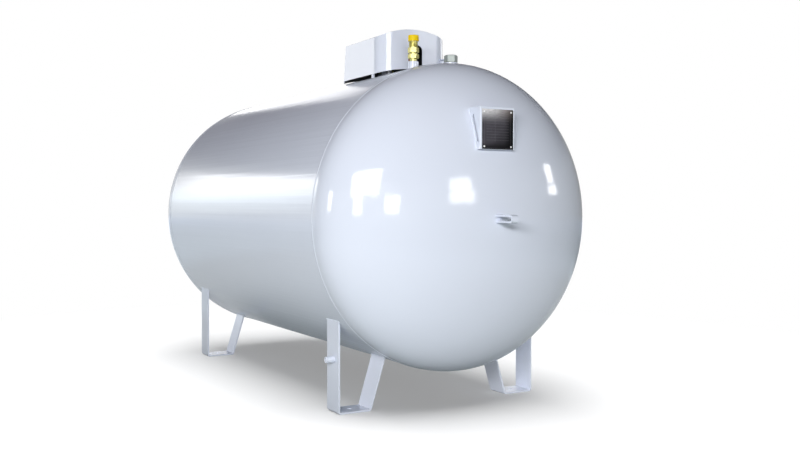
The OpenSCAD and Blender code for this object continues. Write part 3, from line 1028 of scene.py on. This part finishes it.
def hood_form(name, inset):
    """The hood as a solid between the shell and its roof, set in by a sheet's thickness."""
    wide = HOOD_W/2 - inset
    front = HOOD_FRONT - inset
    low = CROWN_Z - HOOD_DOWN
    high = RIDGE_Z + HOOD_OVER
    piece = block(name, (HOOD_BACK, -wide, low), (front, wide, high))
    corner = HOOD_CORNER - inset
    rounded(piece, lambda middle, run: abs(run.z) > FACING and middle.x > front - MERGE, corner, 24)
    edit(piece)
    shift = inset/math.cos(HOOD_LEAN)
    for height in (low, high):
        pick("EDGE", lambda middle, run: (abs(run.y) > FACING and middle.x < HOOD_BACK + MERGE
                                          and abs(middle.z - height) < MERGE))
        move = shift + math.tan(HOOD_LEAN)*(height - CROWN_Z)
        bpy.ops.transform.translate(value=ALONG*move)
    leave()
    return piece


def roofed(piece, radius):
    """Cuts a solid hood to its arched roof."""
    bar = rod("roof_bar", (0, 0, RIDGE_Z - ROOF_R), ALONG, radius, 2*SEAM_X, ROUND*2)
    trim(piece, bar, "INTERSECT")


def hood():
    sheet = hood_form("hood_sheet", 0)
    roofed(sheet, ROOF_R)
    ease(sheet, HOOD_EDGE, 3, 30)
    space = hood_form("hood_space", HOOD_T)
    roofed(space, ROOF_R - HOOD_T)
    trim(sheet, space)
    trim(sheet, tank_tool("back_clearance", TANK_R + HOOD_BACK_GAP))
    clearance = tank_tool("wall_clearance", TANK_R + HOOD_GAP)
    edit(clearance)
    bpy.ops.mesh.select_all(action="SELECT")
    lean = Vector((math.cos(HOOD_LEAN), 0, -math.sin(HOOD_LEAN)))
    inner = Vector((HOOD_BACK, 0, CROWN_Z)) + lean*HOOD_T
    bpy.ops.mesh.bisect(plane_co=inner, plane_no=lean, use_fill=True, clear_inner=True)
    leave()
    trim(sheet, clearance)
    half = NOTCH_W/2
    low = (HOOD_FRONT - HOOD_CORNER, -half, AXIS_Z)
    high = (HOOD_FRONT + HOOD_CORNER, half, NOTCH_Z)
    notch = block("notch", low, high)
    rounded(notch, lambda middle, run: abs(run.x) > FACING and middle.z > NOTCH_Z - MERGE, NOTCH_R, 12)
    trim(sheet, notch)
    smooth(sheet, CRISP)
    return fit(sheet, "hood", "white_paint", HOOD_PAINT, "hood_wall", "hood_roof", "hood_back")


def weld_round(name, corners, radius):
    """A bead round a bar's end, through its corners."""
    fit(bead(name, [*corners, corners[0]], radius), "tank", "white_paint", WELD_PAINT)


def strap_ends():
    """The outer and inner faces of a leg's two straps where they meet the shell."""
    outer = [Vector((0, y, 2*AXIS_Z - shell_z(y))) for y in (LEG_OUT, LEG_OUT - LEG_T)]
    foot = Vector((0, LEG_OUT - FOOT_L + LEG_BEND, LEG_BEND))
    up = Vector((0, -math.sin(LEG_LEAN), math.cos(LEG_LEAN)))
    out = Vector((0, -math.cos(LEG_LEAN), -math.sin(LEG_LEAN)))
    inner = []
    for offset in (LEG_BEND, LEG_BEND - LEG_T):
        start = foot + out*offset - AXIS
        half = start.dot(up)
        run = -half - math.sqrt(half**2 - start.length_squared + TANK_R**2)
        inner.append(start + up*run + AXIS)
    return ("outer", outer), ("inner", inner)


def welds():
    """Beads where the legs, the lugs, the bracket and the hinge ears meet the tank."""
    near = LEG_X - LEG_W/2
    far = LEG_X + LEG_W/2
    for along, end in ENDS:
        for across, side in SIDES:
            for part, (first, second) in strap_ends():
                corners = []
                for x, spot in ((near, first), (far, first), (far, second), (near, second)):
                    corners.append((along*x, across*spot.y, spot.z))
                weld_round("_".join((end, side, part, "weld")), corners, LEG_BEAD)
        for up_down, part in ((1, "upper"), (-1, "lower")):
            outer = LUG_H/2
            inner = LUG_H/2 - LUG_T
            corners = []
            for y, z in ((-1, outer), (1, outer), (1, inner), (-1, inner)):
                corners.append((along*TIP_X, y*LUG_W/2, AXIS_Z + up_down*z))
            weld_round("_".join((end, part, "lug_weld")), corners, LUG_BEAD)
    for across, side in SIDES:
        corners = []
        for x, w in ((1, 1), (1, -1), (-1, -1), (-1, 1)):
            y = across*HINGE_EAR + w*EAR_T/2
            corners.append((HINGE.x + x*EAR_L/2, y, shell_z(y)))
        weld_round(side + "_ear_weld", corners, EAR_BEAD)
        y = across*(BRACKET_W/2 - BRACKET_T/2)
        steps = 12
        points = []
        for step in range(steps + 1):
            z = BRACKET_Z + BRACKET_H*step/steps
            points.append((head_x(math.hypot(y, z - AXIS_Z)), y, z))
        weld = bead(side + "_holder_weld", points, BRACKET_BEAD, False)
        fit(weld, "tank", "white_paint", WELD_PAINT)


def softened(name, node, width, body, slot, finish):
    """A copy of a solid whose sharp edges are rounded."""
    piece = bpy.data.objects.new(name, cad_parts[node].data.copy())
    bpy.context.scene.collection.objects.link(piece)
    edit(piece)
    bpy.ops.mesh.select_all(action="SELECT")
    bpy.ops.mesh.remove_doubles(threshold=MERGE)
    bpy.ops.mesh.dissolve_limited(angle_limit=math.radians(0.5))
    leave()
    ease(piece, width, 2, 40)
    smooth(piece)
    fit(piece, body, slot, finish, node)


def hinge_and_eyes():
    softened("ear_pair", "hinge_ears", 0.001, "tank", "white_paint", PAINT)
    softened("rest_pads", "hood_rests", 0.0006, "tank", "white_paint", PAINT)
    softened("lock_strip", "tank_eye", 0.0008, "tank", "white_paint", PAINT)
    softened("strap_pair", "hinge_straps", 0.001, "hood", "white_paint", HOOD_PAINT)
    softened("lock_tab", "hood_eye", 0.0008, "hood", "white_paint", HOOD_PAINT)
    softened("pin_bar", "hinge_pin", 0.0008, "tank", "zinc_steel", ZINC)


def level_gauge():
    base = coupling("gauge_socket", "gauge_coupling", GAUGE, 0.076, 0.026, 0.030)
    high = 0.010
    profile = [(-0.004, 0), (-0.004, 0.029), (0, 0.029), (0, 0.035), (high, 0.035), (high, 0)]
    parts = [lathed("flange", eased(profile, 0.001), base, steps=FINE_ROUND)]
    screws = 4
    for number in range(screws):
        angle = math.tau*(number + 0.5)/screws
        spot = base + Vector((math.cos(angle), math.sin(angle), 0))*0.0305 + UP*high
        if number:
            parts.append(copied(parts[1], "flange_screw", move=spot - first))
        else:
            first = spot
            parts.append(hexed("flange_screw", spot, 0.0062, 0.0035))
    fit(join("gauge_base", *parts), "tank", "brass", BRASS, "gauge_flange")
    gauge_dial(base + UP*high)


def gauge_dial(base):
    """The gauge's case, its face with a scale in hundredths, and its pointer."""
    sunk = 0.0145
    top = 0.0149
    profile = [(0, 0), (0, 0.0255), (0.014, 0.026), (0.018, 0.0245), (0.018, 0.0225)]
    profile += [(sunk, 0.0215), (sunk, 0)]
    case = lathed("gauge_case", eased(profile, 0.001), base, steps=FINE_ROUND)
    fit(case, "tank", "black_plastic", BLACK, "gauge_dial")
    face = turned("gauge_face", drum(sunk, top, 0.0213), base, steps=FINE_ROUND)
    fit(face, "tank", "white_paint", FACE)
    middle = base + UP*top
    marks = []
    for number in range(19):
        angle = math.radians(225 - 15*number)
        way = Vector((math.cos(angle), math.sin(angle), 0))
        length = 0.0042 if number % 2 == 0 else 0.0024
        mark = block("mark", (-length, -0.00035, 0), (0, 0.00035, 0.0003))
        marks.append(placed(mark, middle + way*0.0202, (0, 0, angle)))
        if number % 4 == 2:
            marks.append(dial_number(str(5*number), middle + way*0.0128))
    fit(join("gauge_marks", *marks), "tank", "black_plastic", BLACK)
    pointer = block("gauge_pointer", (-0.004, -0.0009, 0.0006), (0.0165, 0.0009, 0.0011))
    edit(pointer)
    pick("FACE", lambda middle, normal: normal.x > FACING)
    bpy.ops.transform.resize(value=(1, 0.15, 1))
    leave()
    placed(pointer, middle, (0, 0, math.radians(70)))
    hub = lathed("pointer_hub", eased(drum(0.0002, 0.0016, 0.0024), 0.0005), middle, steps=24)
    fit(join("gauge_pointer", pointer, hub), "tank", "red_plastic", RED)


def dial_number(words, middle):
    """A number of the scale, raised off the dial's face."""
    rise = 0.00012
    deselect()
    bpy.ops.object.text_add(location=(0, 0, 0))
    number = bpy.context.object
    number.data.body = words
    number.data.size = 0.0048
    number.data.align_x = "CENTER"
    number.data.align_y = "CENTER"
    number.data.extrude = rise
    bpy.ops.object.convert(target="MESH")
    return placed(number, middle + UP*rise, (0, 0, math.pi/2))


def service_valve():
    base = coupling("service_socket", "service_coupling", SERVICE, 0.048, 0.024, 0.0165)
    foot = lathed("service_foot", drum(-0.004, 0.001, 0.0155), base)
    hexa = hexed("service_hex", base, 0.038, 0.020)
    profile = [(0.019, 0), (0.019, 0.014), (0.022, 0.016), (0.048, 0.016)]
    profile += [(0.050, 0.0135), (0.056, 0.0135), (0.056, 0)]
    body = lathed("service_body", eased(profile, 0.0012), base)
    profile = [(0, 0), (0, 0.0105), (0.020, 0.0105), (0.022, 0.012), (0.026, 0.012), (0.028, 0.011)]
    profile += thread(0.028, 0.054, 0.0118, 0.0018, 0.0007)
    profile += [(0.056, 0.0105), (0.056, 0.0065), (0.040, 0.0055), (0.040, 0)]
    pipe = lathed("service_outlet", profile, base + UP*0.038, ALONG, UP)
    spindle = lathed("spindle", eased(drum(0.055, 0.070, 0.0045), 0.0005), base, steps=32)
    gland = hexed("gland", base + UP*0.0555, 0.017, 0.006)
    valve = join("service_body", foot, hexa, body, pipe, spindle, gland)
    fit(valve, "tank", "brass", BRASS, "service_valve")
    hand_wheel(base + UP*0.070)


def hand_wheel(base):
    """A wheel with a round rim and five flat spokes."""
    steps = 14
    rim_r = 0.026
    rim_t = 0.005
    profile = []
    for step in range(steps + 1):
        angle = math.tau*step/steps
        profile.append((rim_t + rim_t*math.sin(angle), rim_r + rim_t*math.cos(angle)))
    rim = turned("rim", profile, base, steps=60)
    smooth(rim, SOFT)
    profile = [(0, 0), (0, 0.010), (0.010, 0.009), (0.010, 0.0045), (0.008, 0.004), (0.008, 0)]
    parts = [rim, lathed("hub", eased(profile, 0.0008), base, steps=40)]
    spokes = 5
    for number in range(spokes):
        spoke = block("spoke", (0.006, -0.004, 0.0005), (0.025, 0.004, 0.005))
        ease(spoke, 0.0012, 2)
        smooth(spoke)
        parts.append(placed(spoke, base, (0, 0, math.tau*number/spokes)))
    fit(join("hand_wheel", *parts), "tank", "black_plastic", BLACK, "service_wheel")


def relief_valve():
    base = coupling("relief_socket", "relief_coupling", RELIEF, 0.054, 0.024, 0.0195)
    foot = lathed("relief_foot", drum(-0.004, 0.001, 0.0185), base)
    hexa = hexed("relief_hex", base, 0.044, 0.016)
    top = 0.060
    barrel_r = 0.020
    profile = [(0.015, 0), (0.015, 0.018), (0.018, barrel_r), (0.030, barrel_r), (0.031, 0.0188)]
    profile += [(0.034, 0.0188), (0.035, barrel_r), (top, barrel_r), (top, 0)]
    barrel = lathed("relief_barrel", eased(profile, 0.0006), base)
    fit(join("relief_body", foot, hexa, barrel), "tank", "brass", BRASS, "relief_valve")
    low = 0.050
    inner = 0.0203
    profile = eased([(low, inner), (low, 0.023), (0.064, 0.023), (0.064, 0)], 0.003, 4)
    profile += [(0.0602, 0), (0.0602, inner), (low, inner)]
    fit(lathed("rain_cap", profile, base), "tank", "red_plastic", RED, "relief_cap")


shell()
heads()
girth_welds()
RIGHT_LEG = legs()
earthing_boss()
lugs()
plate_holder()
data_plate()
filling_valve()
plug()
level_gauge()
service_valve()
relief_valve()
hinge_and_eyes()
HOOD = hood()
welds()


# Floor, light and camera
FLOOR_SIZE = 60
FLOOR_NEAR = 1.9
FLOOR_FAR = 3.4
FLOOR_LIT = (0.195, 0.217, 0.200)
FLOOR_GLOSS = 0.38
FLOOR_SHOWN = 0.8
FLOOR_GLOW = 0.29
NEAR_SHEEN = (0.84, 0.93, 1.02)
FAR_SHEEN = (1.25, 1.42, 1.75)
SHEEN_FAR = 25
DIM_NEAR = 2.5
DIM_FAR = 5
BACKDROP_WAY = (-0.996, 0.087, 0)
BACKDROP_DIM = 0.67
BACKDROP_FULL = 0.82
SIDES_SHOWN = 0.35
WALL_TOP = 0.216
CEILING_LOW = 0.28
CEILING_HIGH = 0.42
HORIZON = (0.12, 0.12, 0.125)
CEILING = (0.05, 0.05, 0.053)
CEILING_SHOWN = (0.16, 0.15, 0.19)
RIGHT_LIGHT = 0.6
LAMP_TARGET = Vector((0.5, 0, 0.8))
LAMP_FAR = 6

# Azimuth and elevation from the tank in degrees, width, height and radiance
LAMPS = {
    "key": (-37, 12.5, 3.6, 0.6, 33.5),
    "low_lamp": (-22, 1, 3.0, 0.6, 8.5),
    "flank_lamp": (-95, 8, 2.5, 2.5, 0.8),
    "left_lamp": (-130, 10, 2.5, 2.5, 1.4),
    "back_lamp": (150, 40, 2.5, 2.5, 2.5),
    "right_lamp": (75, 12, 2.5, 2.5, 1.5),
    "far_lamp": (150, 14, 3.0, 2.5, 8),
}

# Bright cards that show in the flank's gloss, the lower ones ever dimmer
FLANK_CARD = (-7.3, -3.3)
FLANK_CARD_W = 2.1
FLANK_SPOT = (0.27, -0.61, 0.9)
FLANK_ROLL = 12
FADES = (3.0, 2.6, 1.95, 1.45, 0.95, 0.55)
FADE_TOP = 1.88
FADE_STEP = 0.22
FADE_TINT = (0.82, 0.93, 1)

# Place, target, width, height and radiance of the cards that show in the hood's gloss
HOOD_CARDS = {
    "hood_window": ((-6.0, -3.5, 2.5), (0.5, -0.17, 1.48), 1.4, 0.9, 2.4),
    "corner_window": ((6.3, -1.85, 2.47), (0.63, -0.12, 1.5), 4.2, 1.6, 8),
    "front_window": ((6.57, 4.2, 2.64), (0.648, 0.08, 1.5), 1.2, 1.2, 2.8),
    "side_window": ((-0.6, 5.9, 2.4), (0.63, 0.15, 1.5), 2.5, 1.6, 4),
}

# Place, target, width and height of the panes that show in the front head's gloss
PANE = 9.5
PANES = (
    ((5.14, -4.52, 2.86), (1.13, -0.50, 0.91), 3.22, 1.50),
    ((4.97, -5.07, 1.60), (1.12, -0.53, 0.83), 1.11, 1.23),
    ((6.80, -2.43, 1.46), (1.18, -0.42, 0.83), 1.10, 0.91),
    ((6.80, 1.70, 2.19), (1.25, -0.16, 0.91), 1.15, 0.56),
    ((6.87, 1.76, 1.63), (1.26, -0.15, 0.86), 1.28, 0.48),
    ((3.25, 5.77, 2.26), (1.22, 0.28, 0.95), 0.62, 0.70),
    ((3.27, 5.88, 1.67), (1.23, 0.29, 0.89), 0.80, 0.30),
    ((0.32, -6.48, 1.81), (1.04, -0.60, 0.84), 0.94, 1.23),
)

CAMERA_PLACE = (4.1332, -2.0784, 0.8319)
CAMERA_YAW = 2.6203
CAMERA_PITCH = -0.0229
CAMERA_LENS = 41.84
CAMERA_SENSOR = 36


def shown(look):
    """One for rays that show the background, nought for rays that carry its light."""
    camera_ray, glossy_ray, clear_ray = (look.node("LightPath", out=place) for place in (0, 3, 6))
    return camera_ray.either(glossy_ray).either(clear_ray)


def side_light(look, way):
    """White ahead and to the left, dimmer to the right."""
    ahead = look.node("VectorMath", {"operation": "DOT_PRODUCT"}, {0: way, 1: BACKDROP_WAY}, 1)
    return look.ramp(ahead, (BACKDROP_DIM, grey(SIDES_SHOWN)), (BACKDROP_FULL, grey(1)))


def floor():
    """A pale floor that takes the tank's shadow and turns plain white farther off."""
    deselect()
    bpy.ops.mesh.primitive_plane_add(size=FLOOR_SIZE, location=(0, 0, 0))
    ground = started("floor")
    pale = bpy.data.materials.new("pale_floor")
    look = Nodes(pale)
    look.tree.nodes.remove(look.tree.nodes["Principled BSDF"])
    seen = shown(look)
    tone = look.mix(seen, colour(*FLOOR_LIT), grey(FLOOR_GLOSS))
    tone = look.mix(look.node("LightPath"), tone, grey(FLOOR_SHOWN))
    matt = look.node("BsdfDiffuse", None, {"Color": tone})
    distance = look.node("VectorMath", {"operation": "LENGTH"}, {0: look.place()}, 1)
    way = look.node("VectorMath", {"operation": "NORMALIZE"}, {0: look.place()})
    sheen = look.mix(look.fade(distance, FLOOR_FAR, SHEEN_FAR), colour(*NEAR_SHEEN), colour(*FAR_SHEEN))
    dimmed = look.mix(look.fade(distance, DIM_NEAR, DIM_FAR), grey(1), side_light(look, way))
    sheen = look.mix(look.node("LightPath"), look.times(sheen, dimmed), grey(1))
    plain = look.node("Emission", None, {"Color": sheen, "Strength": 1.0})
    glow = look.fade(distance, FLOOR_NEAR, FLOOR_FAR).either(FLOOR_GLOW)*seen
    both = look.node("MixShader", None, {0: glow, 1: matt, 2: plain})
    look.tree.links.new(both.socket, look.tree.nodes["Material Output"].inputs["Surface"])
    ground.data.materials.append(pale)
    return ground


def sky():
    """A white horizon under a dim ceiling, with less light from the right."""
    world = bpy.data.worlds.new("studio")
    bpy.context.scene.world = world
    look = Nodes(world)
    way = look.node("TexCoord", out=0)
    across, height = look.axes(way)[1:]
    backdrop = look.ramp(height, (WALL_TOP, grey(1)), (CEILING_LOW, colour(*CEILING_SHOWN)))
    dimmed = look.mix(look.node("LightPath"), side_light(look, way), grey(1))
    level = look.ramp(height, (CEILING_LOW, colour(*HORIZON)), (CEILING_HIGH, colour(*CEILING)))
    fall = look.ramp(across*0.5 + 0.5, (0.35, grey(1)), (0.8, grey(RIGHT_LIGHT)))
    tone = look.mix(shown(look), look.times(level, fall), look.times(backdrop, dimmed))
    look.feed(look.tree.nodes["Background"].inputs["Color"], tone)


def softbox(name, place, target, width, height, radiance, roll=0, tint=(1, 1, 1)):
    """A rectangular lamp that faces a target, equally bright all over."""
    place = Vector(place)
    deselect()
    bpy.ops.object.light_add(type="AREA", location=place)
    lamp = bpy.context.object
    lamp.name = name
    turn = (Vector(target) - place).to_track_quat("-Z", "Y")
    lamp.rotation_euler = (turn @ Quaternion((0, 0, 1), math.radians(roll))).to_euler()
    lamp.data.shape = "RECTANGLE"
    lamp.data.size = width
    lamp.data.size_y = height
    lamp.data.energy = radiance*math.pi*width*height
    lamp.data.color = tint
    lamp.visible_camera = False
    return lamp


def reach(lamp, state, *pieces):
    """Lets a lamp light some pieces alone, or all but those pieces."""
    group = bpy.data.collections.new(lamp.name + "_reach")
    for piece in pieces:
        group.objects.link(piece)
    for link in group.collection_objects:
        link.light_linking.link_state = state
    lamp.light_linking.receiver_collection = group


def lamp(name, azimuth, elevation, width, height, radiance):
    """A lamp in a direction from the tank, out of sight of its gloss."""
    turn = math.radians(azimuth)
    rise = math.radians(elevation)
    way = Vector((math.cos(rise)*math.cos(turn), math.cos(rise)*math.sin(turn), math.sin(rise)))
    made = softbox(name, LAMP_TARGET + LAMP_FAR*way, LAMP_TARGET, width, height, radiance)
    made.visible_glossy = False
    reach(made, "EXCLUDE", GROUND)


def card(*form):
    """A softbox that only shows in gloss."""
    made = softbox(*form)
    made.visible_diffuse = False
    return made


GROUND = floor()
sky()
overhead = softbox("overhead", (0.69, -0.45, 5.5), (0.69, -0.45, 0), 8.2, 5.7, 5.8)
overhead.visible_glossy = False
reach(overhead, "INCLUDE", GROUND)
for name, form in LAMPS.items():
    lamp(name, *form)
leg_lamp = softbox("leg_lamp", (5.0, -4.2, 0.4), (0.8, 0.47, 0.2), 1.6, 0.8, 22)
leg_lamp.visible_glossy = False
reach(leg_lamp, "INCLUDE", RIGHT_LEG)
leg_lamp.light_linking.blocker_collection = leg_lamp.light_linking.receiver_collection

cards = [card("flank_window", (*FLANK_CARD, 2.42), FLANK_SPOT, FLANK_CARD_W, 0.86, 3.4, FLANK_ROLL)]
for step, radiance in enumerate(FADES):
    place = (*FLANK_CARD, FADE_TOP - FADE_STEP*step)
    name = "flank_fade_%d" % step
    cards.append(card(name, place, FLANK_SPOT, FLANK_CARD_W, FADE_STEP, radiance, FLANK_ROLL, FADE_TINT))
cards.append(card("back_window", (-7.0, 2.85, 3.7), (0.2, -0.35, 1.29), 2.8, 2.6, 1.6))
for name, form in HOOD_CARDS.items():
    reach(card(name, *form), "INCLUDE", HOOD)
for number, form in enumerate(PANES, 1):
    cards.append(card("pane_%d" % number, *form, PANE))
for made in cards:
    reach(made, "EXCLUDE", GROUND, HOOD)

turn = (math.pi/2 + CAMERA_PITCH, 0, CAMERA_YAW - math.pi/2)
bpy.ops.object.camera_add(location=CAMERA_PLACE, rotation=turn)
camera = bpy.context.object
camera.data.lens = CAMERA_LENS
camera.data.sensor_width = CAMERA_SENSOR
bpy.context.scene.camera = camera
bpy.context.scene.view_settings.view_transform = "Standard"
